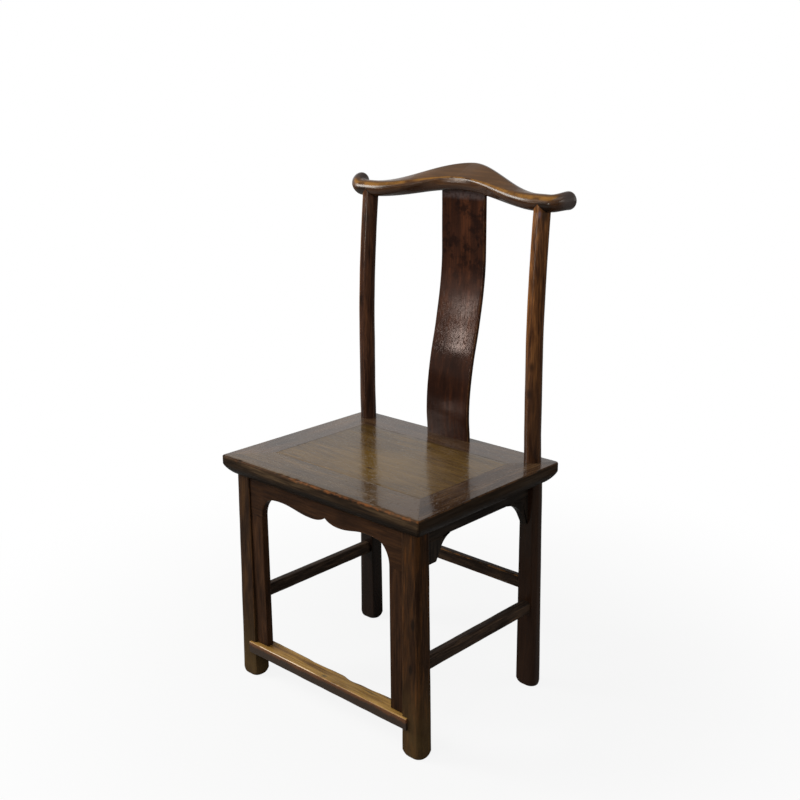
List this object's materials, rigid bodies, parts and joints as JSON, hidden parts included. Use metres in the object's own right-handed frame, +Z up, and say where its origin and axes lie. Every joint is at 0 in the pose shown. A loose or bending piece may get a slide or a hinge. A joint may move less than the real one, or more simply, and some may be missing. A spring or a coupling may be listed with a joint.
{
  "type": "wooden dining chair",
  "caption": "Armless wooden side chair with a mitred frame-and-panel seat, round rear posts, an S-curved splat, a pillowed crest rail with curled ends and low stretchers.",
  "frame": {"origin": "on the floor, in the middle of the chair's plan box", "axes": "+Z up, -Y towards the front of the chair, +X to the right as seen from the front"},
  "size_m": [0.555, 0.473, 1.033],
  "materials": {
    "leg_wood": "old dark brown lacquer, semi-gloss, worn at the arrises",
    "seat_wood": "dark brown lacquer, glossy from use, orange-brown at the worn front arris",
    "panel_wood": "mid brown lacquer, glossy, straight grain from side to side",
    "back_wood": "reddish dark brown lacquer, polished by handling",
    "tread_wood": "lacquer worn through to yellow-tan wood on the tread",
    "inner_wood": "dark brown, matt, little handled"
  },
  "bodies": {
    "root": {"seat_frame_front": "seat_wood", "seat_frame_back": "seat_wood", "seat_frame_left": "seat_wood", "seat_frame_right": "seat_wood", "seat_panel": "panel_wood", "seat_batten_left": "inner_wood", "seat_batten_right": "inner_wood", "seat_peg_front_left": "tread_wood", "seat_peg_front_right": "tread_wood", "seat_peg_rear_left": "tread_wood", "seat_peg_rear_right": "tread_wood", "back_splat": "back_wood", "crest_rail": "back_wood", "crest_peg_left": "tread_wood", "crest_peg_right": "tread_wood", "front_leg_left": "leg_wood", "front_leg_right": "leg_wood", "rear_leg_left": "leg_wood", "rear_leg_right": "leg_wood", "front_apron": "leg_wood", "front_spandrel_left": "leg_wood", "front_spandrel_right": "leg_wood", "side_apron_left": "inner_wood", "side_apron_right": "inner_wood", "side_front_spandrel_left": "inner_wood", "side_front_spandrel_right": "inner_wood", "side_rear_spandrel_left": "inner_wood", "side_rear_spandrel_right": "inner_wood", "back_apron": "inner_wood", "back_spandrel_left": "inner_wood", "back_spandrel_right": "inner_wood", "front_foot_rail": "tread_wood", "side_stretcher_left": "leg_wood", "side_stretcher_right": "leg_wood", "rear_stretcher": "leg_wood"}
  },
  "joints": []
}
